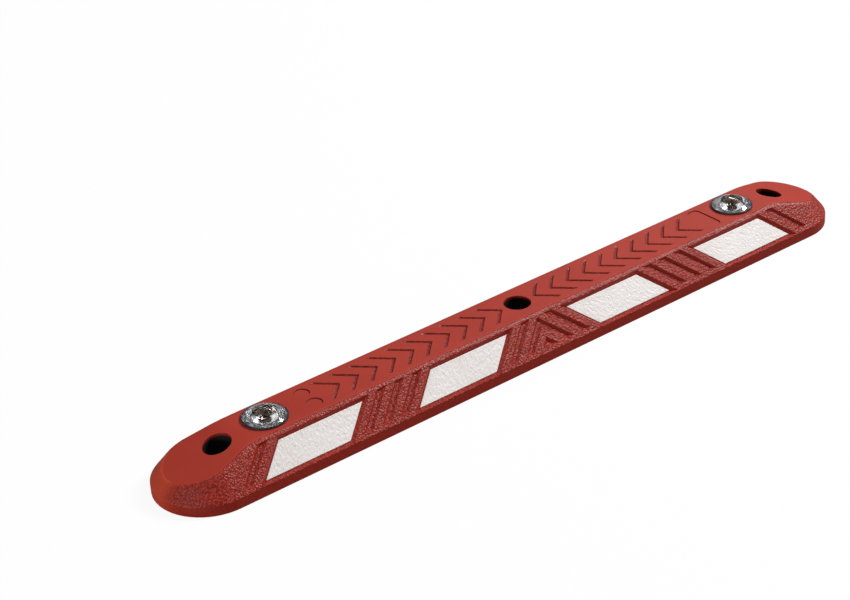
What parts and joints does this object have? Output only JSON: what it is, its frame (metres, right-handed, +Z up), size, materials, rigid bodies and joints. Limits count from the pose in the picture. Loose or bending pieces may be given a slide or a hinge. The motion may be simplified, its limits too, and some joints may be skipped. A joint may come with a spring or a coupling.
{
  "type": "rubber lane divider",
  "caption": "Low moulded rubber lane divider with wedge-shaped sides, reflective sheets in slanted recesses, domed glass studs and stepped bolt holes for fixing to the road.",
  "frame": {"origin": "middle of the underside, on the road surface", "axes": "+X along the divider, +Y across it towards the back side, +Z up from the road"},
  "size_m": [1, 0.125, 0.0613],
  "materials": {
    "red_rubber": "matte",
    "reflective_sheet": "satin",
    "washer_steel": "satin",
    "stud_glass": "polished",
    "stud_mirror": "polished",
    "stud_cup": "satin"
  },
  "bodies": {
    "root": {"rubber_body": "red_rubber", "front_sheet_1": "reflective_sheet", "front_sheet_2": "reflective_sheet", "front_sheet_3": "reflective_sheet", "front_sheet_4": "reflective_sheet", "back_sheet_1": "reflective_sheet", "back_sheet_2": "reflective_sheet", "back_sheet_3": "reflective_sheet", "back_sheet_4": "reflective_sheet", "left_washer": "washer_steel", "centre_washer": "washer_steel", "right_washer": "washer_steel", "left_stud_glass": "stud_glass", "left_stud_mirror": "stud_mirror", "left_stud_cup": "stud_cup", "right_stud_glass": "stud_glass", "right_stud_mirror": "stud_mirror", "right_stud_cup": "stud_cup"}
  },
  "joints": []
}
